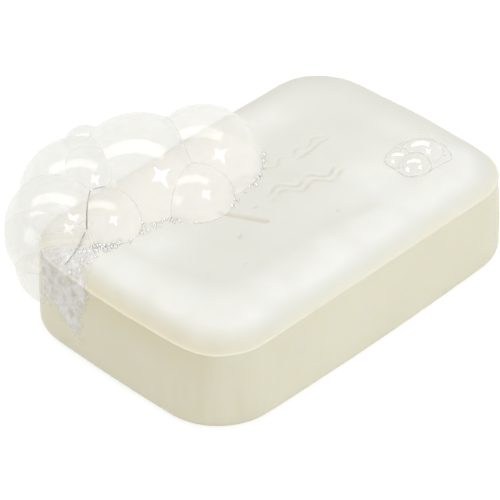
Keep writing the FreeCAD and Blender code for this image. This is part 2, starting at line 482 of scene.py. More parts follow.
def settle_line(settings, rings):
    """Lets the raised line wander and droop as it does on a pressed bar that has been used."""
    points = rings.reshape(-1, 3)
    height = points[:, 2].copy()
    seam = settings.seam_height
    near_line = smooth_step(0.35 * seam, seam, height) * (1 - smooth_step(seam, 1.17 * seam, height))
    corner = np.hypot(points[:, 0] - FRONT_LEFT_CORNER[0], points[:, 1] - FRONT_LEFT_CORNER[1])
    droop = settings.flash_droop * np.exp(-((corner / (13.0 * MM)) ** 2))
    flat = points * (1, 1, 0)
    wander = 0.22 * MM * rough_field(flat, 9.0 * MM, 3) + 0.1 * MM * rough_field(flat, 3.0 * MM, 4)
    points[:, 2] = height + near_line * (wander - droop)
    return points.reshape(rings.shape)


def wear_down(settings, rings):
    """Moves the skin gently in and out, and presses the marks into the top."""
    points = rings.reshape(-1, 3).copy()
    inside = insets(settings, rings) > settings.crest_inset
    flatter = 0.75 * smooth_step(8.0 * MM, 34.0 * MM, points[:, 0] + 0.45 * points[:, 1])
    points[:, 2] += inside * flatter * (top_height(settings, settings.crest_inset) - points[:, 2])
    long_waves = rough_field(points, 17.0 * MM, 1)
    short_waves = rough_field(points, 5.0 * MM, 2)
    relief = settings.unevenness * (long_waves + 0.3 * short_waves)
    on_top = smooth_step(settings.seam_height, settings.seam_height + 2.0 * MM, points[:, 2])
    on_side = (1 - on_top) * smooth_step(0.0, 3.0 * MM, points[:, 2])
    points[:, 2] += on_top * (relief - settings.unevenness - groove_depths(points))
    inwards = (0.5 * relief - 0.6 * settings.unevenness) * on_side
    reach = np.maximum(np.hypot(points[:, 0], points[:, 1]), 1.0 * MM)
    points[:, :2] += points[:, :2] * (inwards / reach)[:, None]
    return np.clip(points, tuple(BAR_LOW), tuple(BAR_HIGH))


def insets(settings, rings):
    """How far in from the raised line each point of the skin lies, below nought on the sides."""
    inset = [-1.0 * MM] * (rings.shape[0] - SHOULDER_STEPS - DISH_STEPS - PANEL_STEPS - 1)
    inset += list(np.linspace(0.0, settings.crest_inset, SHOULDER_STEPS, endpoint=False))
    inset += list(np.linspace(settings.crest_inset, settings.panel_inset, DISH_STEPS, endpoint=False))
    inset += list(np.linspace(settings.panel_inset, settings.seam_width / 2, PANEL_STEPS + 1))
    return np.repeat(inset, rings.shape[1])


def left_shoulder_shade_share(settings, rings, points):
    """How far each point takes the painted shade on the shoulder at the left end."""
    inset = insets(settings, rings)
    low = (inset >= 0) * np.exp(-((np.maximum(inset, 0.0) / (3.0 * MM)) ** 2))
    left = 1 - smooth_step(-44.0 * MM, -26.0 * MM, points[:, 0])
    return low * left * (0.95 + 0.4 * rough_field(points, 5.0 * MM, 9))


def washed_and_sheen_share(settings, rings, points):
    """How far each point of the skin is washed pale and painted with a sheen: most on the crest, least
    at the right end.
    """
    inset = insets(settings, rings)
    share = smooth_step(1.0 * MM, 5.5 * MM, inset) * (1 - smooth_step(8.5 * MM, 17.5 * MM, inset))
    share *= 1 - 0.85 * smooth_step(26.0 * MM, 42.0 * MM, points[:, 0] + 0.45 * points[:, 1])
    for x, y, reach, gain in WASHED_AND_SHEEN_SPOTS:
        away = np.hypot(points[:, 0] - x * MM, points[:, 1] - y * MM) / (reach * MM)
        top = smooth_step(settings.seam_height + 1.0 * MM, settings.seam_height + 3.0 * MM, points[:, 2])
        share = np.maximum(share, gain * top * np.exp(-(away**2)))
    return np.clip(share * (1 + 0.5 * rough_field(points, 6.0 * MM, 8)), 0.0, 1.0)


def groove_colour_and_shade_share(settings, points):
    """How far each point of the top lies in a worn mark, where the soap is painted browner and darker:
    partly its own colour, partly painted shade in the grooves.
    """
    top = smooth_step(settings.seam_height + 2.0 * MM, settings.seam_height + 2.8 * MM, points[:, 2])
    return np.clip(top * groove_depths(points) / (0.24 * MM), 0.0, 1.0)


def bubble_light_share(settings, points):
    """How far each point lies under the large bubbles, where the soap is painted paler: painted light
    under the films.
    """
    share = np.zeros(len(points))
    for x, y, z, radius in LARGE_BUBBLES.values():
        away = np.linalg.norm(points - np.array((x, y, z)) * MM, axis=1)
        share = np.maximum(share, 1 - smooth_step((radius - 0.6) * MM, (radius + 0.3) * MM, away))
    top = smooth_step(settings.seam_height - 1.0 * MM, settings.seam_height + 2.0 * MM, points[:, 2])
    return share * top


def line_highlight_share(settings, rings, points):
    """How far each point lies on the raised line, which is painted bright as a highlight where it stands
    out most.
    """
    first = UNDERSIDE_STEPS + BASE_STEPS + SIDE_STEPS
    share = np.zeros(rings.shape[0])
    share[first:first + len(FLASH_PROFILE)] = [rise for _, rise in FLASH_PROFILE]
    uneven = 0.75 + 1.1 * rough_field(points, 3.5 * MM, 12) + 0.4 * rough_field(points, 1.2 * MM, 13)
    corner = np.hypot(points[:, 0] - FRONT_LEFT_CORNER[0], points[:, 1] - FRONT_LEFT_CORNER[1])
    fade = 1 - 0.8 * np.exp(-((corner / (8.0 * MM)) ** 2))
    return np.clip(np.repeat(share, rings.shape[1]) * uneven * fade, 0.0, 1.0)


def skin_of_rings(name, points, rings, count, shares):
    """A closed mesh through rings of equally many points, with named shares for each point."""
    faces = []
    for ring in range(rings - 1):
        low = ring * count
        high = low + count
        for index in range(count):
            after = (index + 1) % count
            faces.append((low + index, low + after, high + after, high + index))
    mesh = bpy.data.meshes.new(name)
    mesh.from_pydata([tuple(point) for point in points], [], faces)
    for label, share in shares.items():
        attribute = mesh.attributes.new(label, "FLOAT", "POINT")
        attribute.data.foreach_set("value", share.astype(np.float32))
    work = bmesh.new()
    work.from_mesh(mesh)
    bmesh.ops.remove_doubles(work, verts=work.verts, dist=0.002 * MM)
    bmesh.ops.dissolve_degenerate(work, edges=work.edges, dist=0.002 * MM)
    for face in work.faces:
        face.smooth = True
    work.to_mesh(mesh)
    work.free()
    return mesh


# Helpers for node trees

def add_node(tree, kind, **settings):
    """A new node with its settings given by name."""
    node = tree.nodes.new(kind)
    for name, value in settings.items():
        setattr(node, name, value)
    return node


def noise_node(tree, vector, scale, detail):
    """Noise on Object coordinates, with this many hills to a metre."""
    texture = add_node(tree, "ShaderNodeTexNoise")
    texture.inputs["Scale"].default_value = scale
    texture.inputs["Detail"].default_value = detail
    tree.links.new(vector, texture.inputs["Vector"])
    return texture.outputs[0]


def math_node(tree, operation, first, second):
    """A sum of two values, of which either may be a number or a socket."""
    node = add_node(tree, "ShaderNodeMath", operation=operation)
    for socket, value in zip(node.inputs, (first, second)):
        if isinstance(value, (int, float)):
            socket.default_value = value
        else:
            tree.links.new(value, socket)
    return node.outputs[0]


def range_node(tree, value, low, high, start, stop):
    """A value mapped from one range to another, and held inside it."""
    node = add_node(tree, "ShaderNodeMapRange")
    tree.links.new(value, node.inputs["Value"])
    for name, number in (("From Min", low), ("From Max", high), ("To Min", start), ("To Max", stop)):
        node.inputs[name].default_value = number
    return node.outputs["Result"]


def colour_node(tree, share, first, second):
    """A mix of two colours, of which either may be a colour or a socket."""
    node = add_node(tree, "ShaderNodeMix", data_type="RGBA")
    tree.links.new(share, node.inputs[0])
    for socket, value in ((node.inputs[6], first), (node.inputs[7], second)):
        if isinstance(value, bpy.types.NodeSocket):
            tree.links.new(value, socket)
        else:
            socket.default_value = (*value, 1.0)
    return node.outputs[2]


FOAM_DARK = (0.95, 0.94, 0.935)
FOAM_PALE = (1.0, 0.99, 0.995)


def new_material(name):
    """An empty node material with its output."""
    material = bpy.data.materials.new(name)
    material.use_nodes = True
    material.node_tree.nodes.clear()
    output = add_node(material.node_tree, "ShaderNodeOutputMaterial")
    return material, material.node_tree, output


def mix_shaders(tree, share, first, second):
    """Two shaders mixed by a socket's value."""
    node = add_node(tree, "ShaderNodeMixShader")
    tree.links.new(share, node.inputs[0])
    tree.links.new(first, node.inputs[1])
    tree.links.new(second, node.inputs[2])
    return node.outputs[0]


# Materials

def soap_material(settings):
    """Cream toilet soap, satin and a little translucent: washed and painted pale on top, warmer at the
    sides, with painted sheen and shade.
    """
    material, tree, output = new_material("pressed_soap")
    place = add_node(tree, "ShaderNodeTexCoord").outputs["Object"]
    parts = add_node(tree, "ShaderNodeSeparateXYZ")
    tree.links.new(place, parts.inputs[0])
    cloud = noise_node(tree, place, 55.0, 3.0)
    mottle = noise_node(tree, place, 330.0, 4.0)
    grain = noise_node(tree, place, 1500.0, 3.0)

    seam = settings.seam_height
    # Painted light: the top is given a paler, less yellow colour than the sides, for the stronger light
    # that falls on it.
    rise = range_node(tree, parts.outputs["Z"], seam - 0.4 * MM, seam + 1.9 * MM, 0.0, 1.0)
    # The crest is painted paler: partly washed soap, partly a painted sheen.
    washed = add_node(tree, "ShaderNodeAttribute", attribute_name="washed").outputs["Fac"]
    top = colour_node(tree, washed, settings.top_colour, settings.crest_washed_sheen_colour)
    sides = colour_node(tree, rise, settings.side_colour, top)
    # Painted shade on the left end's shoulder, just above the raised line.
    shaded = add_node(tree, "ShaderNodeAttribute", attribute_name="shaded").outputs["Fac"]
    shoulder = colour_node(tree, shaded, sides, settings.shoulder_shade_colour)
    # A painted highlight along the raised line.
    line = add_node(tree, "ShaderNodeAttribute", attribute_name="line").outputs["Fac"]
    line_highlighted = colour_node(tree, line, shoulder, (0.95, 0.95, 0.92))
    # Painted light: the soap under the large bubbles is painted paler.
    under_bubble_light = add_node(tree, "ShaderNodeAttribute", attribute_name="under_bubble_light").outputs["Fac"]
    bubble_lit = colour_node(tree, under_bubble_light, line_highlighted, (0.96, 0.93, 0.85))
    # Worn marks painted browner and darker: partly the soap's own colour, partly painted shade in the
    # grooves and dents.
    worn = add_node(tree, "ShaderNodeAttribute", attribute_name="worn").outputs["Fac"]
    mark = range_node(tree, worn, 0.0, 1.0, 0.0, 0.9)
    colour = colour_node(tree, mark, bubble_lit, (0.73, 0.7, 0.6))
    darker = add_node(tree, "ShaderNodeMix", data_type="RGBA", blend_type="MULTIPLY")
    tree.links.new(range_node(tree, cloud, 0.35, 0.7, 0.0, 0.35), darker.inputs[0])
    tree.links.new(colour, darker.inputs[6])
    darker.inputs[7].default_value = (0.93, 0.92, 0.885, 1.0)
    # Painted shade near the front left corner of the sides, darker and yellower, broken into vertical
    # streaks.
    upright = add_node(tree, "ShaderNodeVectorMath", operation="MULTIPLY")
    upright.inputs[1].default_value = (1.0, 1.0, 0.12)
    tree.links.new(place, upright.inputs[0])
    streaks = noise_node(tree, upright.outputs[0], 170.0, 3.0)
    apart = math_node(tree, "ADD", parts.outputs["X"], parts.outputs["Y"])
    near = range_node(tree, apart, -0.072, -0.058, 0.75, 0.0)
    level_side = range_node(tree, rise, 0.0, 1.0, 1.0, 0.0)
    low = math_node(tree, "MULTIPLY", near, level_side)
    corner_shade_streaks = math_node(tree, "MULTIPLY", low, range_node(tree, streaks, 0.45, 0.75, 0.0, 1.0))
    streaked = colour_node(tree, corner_shade_streaks, darker.outputs[2], (0.8, 0.745, 0.53))
    # Painted shade on the upper part of the left end's side, darker and warmer towards the raised line.
    left = range_node(tree, parts.outputs["X"], -46.5 * MM, -42.0 * MM, 1.0, 0.0)
    under = range_node(tree, parts.outputs["Z"], 11.0 * MM, 17.5 * MM, 0.0, 0.75)
    left_end_shade = math_node(tree, "MULTIPLY", left, math_node(tree, "MULTIPLY", under, level_side))
    streaked = colour_node(tree, left_end_shade, streaked, (0.845, 0.785, 0.565))
    chalk = range_node(tree, mottle, 0.5, 0.75, 0.0, 0.25)
    paler = colour_node(tree, chalk, streaked, (0.87, 0.87, 0.82))

    shader = add_node(tree, "ShaderNodeBsdfPrincipled")
    tree.links.new(paler, shader.inputs["Base Color"])
    tree.links.new(range_node(tree, mottle, 0.3, 0.7, 0.4, 0.56), shader.inputs["Roughness"])
    shader.inputs["Subsurface Weight"].default_value = 0.25
    shader.inputs["Subsurface Radius"].default_value = (1.0, 0.85, 0.55)
    shader.inputs["Subsurface Scale"].default_value = 2.5 * MM
    shader.inputs["IOR"].default_value = 1.45

    height = math_node(tree, "ADD", math_node(tree, "MULTIPLY", mottle, 0.6), grain)
    bump = add_node(tree, "ShaderNodeBump")
    bump.inputs["Strength"].default_value = 0.22
    bump.inputs["Distance"].default_value = 0.08 * MM
    tree.links.new(height, bump.inputs["Height"])
    tree.links.new(bump.outputs["Normal"], shader.inputs["Normal"])
    tree.links.new(shader.outputs[0], output.inputs["Surface"])
    return material


def lamp_only(tree):
    """One for the rays that carry lamp light to what lies behind a film, and nought for others."""
    path = add_node(tree, "ShaderNodeLightPath")
    return math_node(
        tree, "MAXIMUM", path.outputs["Is Shadow Ray"], path.outputs["Is Diffuse Ray"]
    )


def thin_front(tree, place):
    """A value that falls where the films hang thin and clear in front of the bar's left end."""
    parts = add_node(tree, "ShaderNodeSeparateXYZ")
    tree.links.new(place, parts.inputs[0])
    behind = range_node(tree, parts.outputs["Y"], 19.5 * MM, 23.5 * MM, 0.0, 1.0)
    above = range_node(tree, parts.outputs["Z"], 26.8 * MM, 28.0 * MM, 0.0, 1.0)
    right = range_node(tree, parts.outputs["X"], -40.0 * MM, -37.0 * MM, 0.0, 1.0)
    full = math_node(tree, "MAXIMUM", math_node(tree, "MAXIMUM", behind, above), right)
    return range_node(tree, full, 0.0, 1.0, 0.35, 1.0)


def film_material(settings, name, gloss, milk):
    """A thin soap film: part clear, part milky with fine droplets, shinier towards its outline."""
    material, tree, output = new_material(name)
    weight = add_node(tree, "ShaderNodeLayerWeight")
    weight.inputs["Blend"].default_value = 0.5
    facing = weight.outputs["Facing"]
    place = add_node(tree, "ShaderNodeTexCoord").outputs["Object"]
    drift = noise_node(tree, place, 110.0, 2.0)
    edge = math_node(tree, "POWER", facing, 4.0)
    clear = add_node(tree, "ShaderNodeBsdfTransparent")
    tint = colour_node(tree, edge, settings.film_clear, settings.film_rim)
    tree.links.new(tint, clear.inputs["Color"])
    front = add_node(tree, "ShaderNodeBsdfDiffuse")
    behind = add_node(tree, "ShaderNodeBsdfTranslucent")
    for side in (front, behind):
        side.inputs["Color"].default_value = (*settings.milk_colour, 1.0)
    even = add_node(tree, "ShaderNodeAddShader")
    tree.links.new(front.outputs[0], even.inputs[0])
    tree.links.new(behind.outputs[0], even.inputs[1])
    thin = thin_front(tree, place)
    cloudy = range_node(tree, drift, 0.3, 0.7, 0.88 * milk, 1.1 * milk)
    haze = math_node(tree, "MULTIPLY", cloudy, thin)
    body = mix_shaders(tree, haze, clear.outputs[0], even.outputs[0])
    shine = add_node(tree, "ShaderNodeBsdfAnisotropic")
    shine.inputs["Roughness"].default_value = 0.03
    shine.inputs["Color"].default_value = (1.0, 1.0, 1.0, 1.0)
    grazing = math_node(tree, "POWER", facing, 5.0)
    share = range_node(tree, grazing, 0.0, 1.0, gloss, 0.28)
    share = math_node(tree, "MULTIPLY", share, thin)
    film = mix_shaders(tree, share, body, shine.outputs[0])
    open_way = add_node(tree, "ShaderNodeBsdfTransparent")
    lit = mix_shaders(tree, lamp_only(tree), film, open_way.outputs[0])
    tree.links.new(lit, output.inputs["Surface"])
    return material


def bead_material(settings, name, gloss, rim):
    """A tiny bubble: clear in its middle, darker at its outline, with bright sparkles."""
    material, tree, output = new_material(name)
    weight = add_node(tree, "ShaderNodeLayerWeight")
    weight.inputs["Blend"].default_value = 0.5
    edge = math_node(tree, "POWER", weight.outputs["Facing"], 3.0)
    clear = add_node(tree, "ShaderNodeBsdfTransparent")
    tint = colour_node(tree, edge, (0.99, 0.99, 0.985), rim)
    tree.links.new(tint, clear.inputs["Color"])
    shine = add_node(tree, "ShaderNodeBsdfAnisotropic")
    shine.inputs["Roughness"].default_value = 0.12
    share = range_node(tree, edge, 0.0, 1.0, gloss, 1.3 * gloss)
    film = mix_shaders(tree, share, clear.outputs[0], shine.outputs[0])
    open_way = add_node(tree, "ShaderNodeBsdfTransparent")
    lit = mix_shaders(tree, lamp_only(tree), film, open_way.outputs[0])
    tree.links.new(lit, output.inputs["Surface"])
    return material


def border_material(name, dark, light, thin, thick):
    """The wet thread where films meet: liquid that is now thin, now thick, with a wet shine."""
    material, tree, output = new_material(name)
    place = add_node(tree, "ShaderNodeTexCoord").outputs["Object"]
    streak = noise_node(tree, place, 400.0, 2.0)
    shader = add_node(tree, "ShaderNodeBsdfPrincipled")
    tree.links.new(colour_node(tree, streak, dark, light), shader.inputs["Base Color"])
    shader.inputs["Roughness"].default_value = 0.12
    tree.links.new(range_node(tree, streak, 0.35, 0.65, thin, thick), shader.inputs["Alpha"])
    tree.links.new(shader.outputs[0], output.inputs["Surface"])
    return material


def foam_material():
    """The sheet of fine foam: large and small cells with faint edges, half seen through."""
    material, tree, output = new_material("fine_foam_sheet")
    place = add_node(tree, "ShaderNodeTexCoord").outputs["Object"]
    wide = add_node(tree, "ShaderNodeVectorMath", operation="MULTIPLY")
    wide.inputs[1].default_value = (1.0, 0.82, 0.95)
    tree.links.new(place, wide.inputs[0])
    nets = []
    for scale, low, high in ((400.0, 0.22, 0.55), (1250.0, 0.2, 0.55)):
        cells = add_node(tree, "ShaderNodeTexVoronoi", feature="SMOOTH_F1")
        cells.inputs["Scale"].default_value = scale
        cells.inputs["Smoothness"].default_value = 0.3
        tree.links.new(wide.outputs[0], cells.inputs["Vector"])
        nets.append(range_node(tree, cells.outputs["Distance"], low, high, 0.0, 1.0))
    fine = range_node(tree, nets[1], 0.0, 1.0, 0.62, 1.0)
    net = math_node(tree, "MULTIPLY", nets[0], fine)
    cloud = noise_node(tree, place, 300.0, 4.0)
    edge = add_node(tree, "ShaderNodeAttribute", attribute_name="edge").outputs["Fac"]
    grey = colour_node(tree, range_node(tree, cloud, 0.35, 0.65, 0.0, 1.0), FOAM_DARK, FOAM_PALE)
    shader = add_node(tree, "ShaderNodeBsdfPrincipled")
    tree.links.new(grey, shader.inputs["Base Color"])
    shader.inputs["Roughness"].default_value = 0.3
    thick = range_node(tree, net, 0.0, 1.0, 0.42, 0.86)
    alpha = math_node(tree, "MULTIPLY", thick, range_node(tree, edge, 0.0, 0.8, 0.0, 1.0))
    tree.links.new(alpha, shader.inputs["Alpha"])
    bump = add_node(tree, "ShaderNodeBump")
    bump.inputs["Strength"].default_value = 0.15
    bump.inputs["Distance"].default_value = 0.1 * MM
    tree.links.new(net, bump.inputs["Height"])
    tree.links.new(bump.outputs["Normal"], shader.inputs["Normal"])
    tree.links.new(shader.outputs[0], output.inputs["Surface"])
    return material


# Geometry node trees

def start_tree(name, numbers, whole_numbers=()):
    """A geometry tree with named inputs for its sizes, its whole numbers and its material."""
    tree = bpy.data.node_groups.new(name, "GeometryNodeTree")
    tree.interface.new_socket("Geometry", in_out="INPUT", socket_type="NodeSocketGeometry")
    for label in numbers:
        tree.interface.new_socket(label, in_out="INPUT", socket_type="NodeSocketFloat")
    for label in whole_numbers:
        tree.interface.new_socket(label, in_out="INPUT", socket_type="NodeSocketInt")
    tree.interface.new_socket("Finish", in_out="INPUT", socket_type="NodeSocketMaterial")
    tree.interface.new_socket("Geometry", in_out="OUTPUT", socket_type="NodeSocketGeometry")
    return tree, add_node(tree, "NodeGroupInput"), add_node(tree, "NodeGroupOutput")


def end_tree(tree, inputs, output, geometry):
    """Realizes what the tree made, smooths it and gives it its material."""
    real = add_node(tree, "GeometryNodeRealizeInstances")
    smooth = add_node(tree, "GeometryNodeSetShadeSmooth")
    finish = add_node(tree, "GeometryNodeSetMaterial")
    tree.links.new(geometry, real.inputs[0])
    tree.links.new(real.outputs[0], smooth.inputs[0])
    tree.links.new(smooth.outputs[0], finish.inputs[0])
    tree.links.new(inputs.outputs["Finish"], finish.inputs["Material"])
    tree.links.new(finish.outputs[0], output.inputs[0])


def thread_tree():
    """Draws a round thread of slightly uneven thickness along every line of a mesh."""
    tree, inputs, output = start_tree("Wet threads", ("Radius", "Unevenness"))
    curves = add_node(tree, "GeometryNodeMeshToCurve")
    tree.links.new(inputs.outputs["Geometry"], curves.inputs[0])
    texture = add_node(tree, "ShaderNodeTexNoise")
    texture.inputs["Scale"].default_value = 350.0
    spread = math_node(tree, "MULTIPLY", math_node(tree, "SUBTRACT", texture.outputs[0], 0.5), 4.0)
    swell = math_node(tree, "MULTIPLY", spread, inputs.outputs["Unevenness"])
    share = math_node(tree, "ADD", swell, 1.0)
    radius = add_node(tree, "GeometryNodeSetCurveRadius")
    tree.links.new(curves.outputs[0], radius.inputs["Curve"])
    thickness = math_node(tree, "MULTIPLY", share, inputs.outputs["Radius"])
    tree.links.new(thickness, radius.inputs["Radius"])
    section = add_node(tree, "GeometryNodeCurvePrimitiveCircle")
    section.inputs["Resolution"].default_value = 6
    section.inputs["Radius"].default_value = 1.0
    tube = add_node(tree, "GeometryNodeCurveToMesh")
    tree.links.new(radius.outputs[0], tube.inputs["Curve"])
    tree.links.new(section.outputs[0], tube.inputs["Profile Curve"])
    if "Scale" in tube.inputs:
        tree.links.new(thickness, tube.inputs["Scale"])
    tube.inputs["Fill Caps"].default_value = True
    end_tree(tree, inputs, output, tube.outputs[0])
    return tree


def scatter_spheres(tree, inputs, points, seed):
    """Small spheres of random size on points, many small ones to each large one."""
    ball = add_node(tree, "GeometryNodeMeshIcoSphere")
    ball.inputs["Radius"].default_value = 1.0
    ball.inputs["Subdivisions"].default_value = 2
    draw = add_node(tree, "FunctionNodeRandomValue", data_type="FLOAT")
    tree.links.new(seed, draw.inputs["Seed"])
    rare = math_node(tree, "POWER", draw.outputs[1], 2.0)
    size = add_node(tree, "ShaderNodeMapRange")
    tree.links.new(rare, size.inputs["Value"])
    tree.links.new(inputs.outputs["Smallest"], size.inputs["To Min"])
    tree.links.new(inputs.outputs["Largest"], size.inputs["To Max"])
    copies = add_node(tree, "GeometryNodeInstanceOnPoints")
    tree.links.new(points, copies.inputs["Points"])
    tree.links.new(ball.outputs["Mesh"], copies.inputs["Instance"])
    tree.links.new(size.outputs["Result"], copies.inputs["Scale"])
    return copies.outputs[0]


def bead_tree():
    """Beads of foam that have gathered along lines."""
    sizes = ("Spacing", "Smallest", "Largest", "Spread")
    tree, inputs, output = start_tree("Foam beads", sizes, ("Seed",))
    curves = add_node(tree, "GeometryNodeMeshToCurve")
    tree.links.new(inputs.outputs["Geometry"], curves.inputs[0])
    points = add_node(tree, "GeometryNodeCurveToPoints", mode="LENGTH")
    tree.links.new(curves.outputs[0], points.inputs["Curve"])
    tree.links.new(inputs.outputs["Spacing"], points.inputs["Length"])
    drift = add_node(tree, "FunctionNodeRandomValue", data_type="FLOAT_VECTOR")
    drift.inputs[0].default_value = (-1.0, -1.0, 0.0)
    drift.inputs[1].default_value = (1.0, 1.0, 0.35)
    tree.links.new(inputs.outputs["Seed"], drift.inputs["Seed"])
    scaled = add_node(tree, "ShaderNodeVectorMath", operation="SCALE")
    tree.links.new(drift.outputs[0], scaled.inputs[0])
    tree.links.new(inputs.outputs["Spread"], scaled.inputs["Scale"])
    place = add_node(tree, "GeometryNodeSetPosition")
    tree.links.new(points.outputs[0], place.inputs["Geometry"])
    tree.links.new(scaled.outputs[0], place.inputs["Offset"])
    beads = scatter_spheres(tree, inputs, place.outputs[0], inputs.outputs["Seed"])
    end_tree(tree, inputs, output, beads)
    return tree


def foam_tree():
    """Cells of fine foam spread over a surface."""
    sizes = ("Spacing", "Smallest", "Largest", "Density")
    tree, inputs, output = start_tree("Foam cells", sizes, ("Seed",))
    points = add_node(
        tree, "GeometryNodeDistributePointsOnFaces", distribute_method="POISSON"
    )
    tree.links.new(inputs.outputs["Geometry"], points.inputs["Mesh"])
    tree.links.new(inputs.outputs["Spacing"], points.inputs["Distance Min"])
    tree.links.new(inputs.outputs["Density"], points.inputs["Density Max"])
    tree.links.new(inputs.outputs["Seed"], points.inputs["Seed"])
    cells = scatter_spheres(tree, inputs, points.outputs[0], inputs.outputs["Seed"])
    end_tree(tree, inputs, output, cells)
    return tree


def grow_with(tree, name, mesh, values):
    """A piece made from a plain mesh by a geometry tree, as a plain mesh again."""
    piece = bpy.data.objects.new(name, mesh)
    bpy.context.scene.collection.objects.link(piece)
    modifier = piece.modifiers.new(tree.name, "NODES")
    modifier.node_group = tree
    for socket in tree.interface.items_tree:
        if socket.in_out == "INPUT" and socket.name in values:
            modifier[socket.identifier] = values[socket.name]
    evaluated = piece.evaluated_get(bpy.context.evaluated_depsgraph_get())
    grown = bpy.data.meshes.new_from_object(evaluated)
    piece.modifiers.remove(modifier)
    piece.data = grown
    return piece


def add_piece(name, mesh, material):
    """A piece of the model from a finished mesh and its material."""
    piece = bpy.data.objects.new(name, mesh)
    bpy.context.scene.collection.objects.link(piece)
    mesh.materials.clear()
    mesh.materials.append(material)
    return piece


def declare(piece, slot, *nodes):
    """Sets the piece on the bar's body and hides the imported parts it stands for. The finish it is
    given is not used.
    """
    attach(piece, BODY)
    if nodes:
        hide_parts(*nodes)


# Bubbles

class Bubble:
    """A round bubble: its middle and radius in metres."""

    def __init__(self, name, x, y, z, radius):
        self.name = name
        self.middle = Vector((x, y, z)) * MM
        self.radius = radius * MM

    def power(self, point):
        """How far a point lies outside the bubble, negative inside it."""
        return (point - self.middle).length - self.radius


class Ground:
    """The bar's finished surface, which bubbles are trimmed to."""

    def __init__(self, piece):
        self.tree = BVHTree.FromObject(piece, bpy.context.evaluated_depsgraph_get())

    def clearance(self, point):
        """How far a point lies outside the bar, negative inside it."""
        place, normal, _, _ = self.tree.find_nearest(point)
        away = point - place
        return math.copysign(away.length, away.dot(normal))


def shared_plane(first, second):
    """The plane where two bubbles meet: a point on the line of middles, and its direction."""
    across = second.middle - first.middle
    gap = across.length
    along = (gap**2 + first.radius**2 - second.radius**2) / (2 * gap)
    direction = across / gap
    return first.middle + direction * along, direction, along


def meets(first, second):
    """Whether two bubbles' skins cross."""
    gap = (second.middle - first.middle).length
    return abs(first.radius - second.radius) < gap < first.radius + second.radius


def cut_away(work, point, direction):
    """Cuts a mesh at a plane and removes what lies on the side its direction points to."""
    everything = work.verts[:] + work.edges[:] + work.faces[:]
    bmesh.ops.bisect_plane(
        work, geom=everything, dist=0.001 * MM, plane_co=point, plane_no=direction, clear_outer=True
    )


def sink_away(work, ground, margin):
    """Removes the faces that lie wholly inside the bar."""
    depth = {vertex: ground.clearance(vertex.co) for vertex in work.verts}
    buried = [face for face in work.faces if all(depth[v] < -margin for v in face.verts)]
    bmesh.ops.delete(work, geom=buried, context="FACES")


def film_mesh(name, bubbles, ground, fineness):
    """The outer films of bubbles that have run together, trimmed to each other and to the bar."""
    whole = bmesh.new()
    for bubble in bubbles:
        work = bmesh.new()
        bmesh.ops.create_icosphere(
            work, subdivisions=fineness, radius=bubble.radius,
            matrix=Matrix.Translation(bubble.middle),
        )
        for other in bubbles:
            if other is not bubble and meets(bubble, other):
                point, direction, _ = shared_plane(bubble, other)
                cut_away(work, point, direction)
        sink_away(work, ground, 0.15 * MM)
        part = bpy.data.meshes.new(name)
        work.to_mesh(part)
        work.free()
        whole.from_mesh(part)
        bpy.data.meshes.remove(part)
    for face in whole.faces:
        face.smooth = True
    mesh = bpy.data.meshes.new(name)
    whole.to_mesh(mesh)
    whole.free()
    return mesh


def wall_mesh(name, bubbles, ground):
    """The flat films between bubbles that share a wall."""
    whole = bmesh.new()
    for index, first in enumerate(bubbles):
        for second in bubbles[index + 1:]:
            if not meets(first, second):
                continue
            point, direction, along = shared_plane(first, second)
            radius = math.sqrt(max(first.radius**2 - along**2, 0.0))
            turn = direction.to_track_quat("Z", "Y").to_matrix().to_4x4()
            work = bmesh.new()
            bmesh.ops.create_grid(
                work, x_segments=16, y_segments=16, size=radius,
                matrix=Matrix.Translation(point) @ turn,
            )
            for vertex in work.verts:
                flat = vertex.co - point
                widest = max(abs(value) for value in (turn.inverted() @ flat.to_4d()).xyz[:2])
                if flat.length > 0:
                    vertex.co = point + flat * (widest / flat.length)
            for other in bubbles:
                if other not in (first, second) and meets(first, other):
                    place, way, _ = shared_plane(first, other)
                    cut_away(work, place, way)
            sink_away(work, ground, 0.15 * MM)
            part = bpy.data.meshes.new(name)
            work.to_mesh(part)
            work.free()
            whole.from_mesh(part)
            bpy.data.meshes.remove(part)
    for face in whole.faces:
        face.smooth = True
    mesh = bpy.data.meshes.new(name)
    whole.to_mesh(mesh)
    whole.free()
    return mesh


LINE_STEPS = 240
DARK_CREASES = ({"front_left", "left_corner"}, {"front_left", "top_left"})
HIDDEN_FEET = ("low_left", "left_end", "left_corner")
PLAIN_CREASES = (
    {"front_right", "middle"},
    {"front_right", "back_right"},
    {"middle", "back_right"},
    {"middle", "front_left"},
)


def kept_runs(points, keep):
    """The unbroken stretches of a ring of points that are kept, as lists of points."""
    if all(keep):
        return [points + points[:1]]
    if not any(keep):
        return []
    start = keep.index(False)
    runs = []
    run = []
    for step in range(1, len(points) + 1):
        index = (start + step) % len(points)
        if keep[index]:
            run.append(points[index])
        elif run:
            runs.append(run)
            run = []
    return [run for run in runs if len(run) > 2]


def crease_lines(bubbles, ground, wanted):
    """The arcs where the outer films of two bubbles meet, for the pairs that are wanted."""
    lines = []
    for index, first in enumerate(bubbles):
        for second in bubbles[index + 1:]:
            if not meets(first, second) or not wanted(first, second):
                continue
            point, direction, along = shared_plane(first, second)
            radius = math.sqrt(max(first.radius**2 - along**2, 0.0))
            turn = direction.to_track_quat("Z", "Y")
            ring = []
            for step in range(LINE_STEPS):
                angle = 2 * math.pi * step / LINE_STEPS
                spoke = Vector((math.cos(angle), math.sin(angle), 0.0)) * radius
                ring.append(point + turn @ spoke)
            others = [other for other in bubbles if other not in (first, second)]
            keep = [
                all(other.power(place) > -0.01 * MM for other in others)
                and ground.clearance(place) > 0
                for place in ring
            ]
            lines += kept_runs(ring, keep)
    return lines


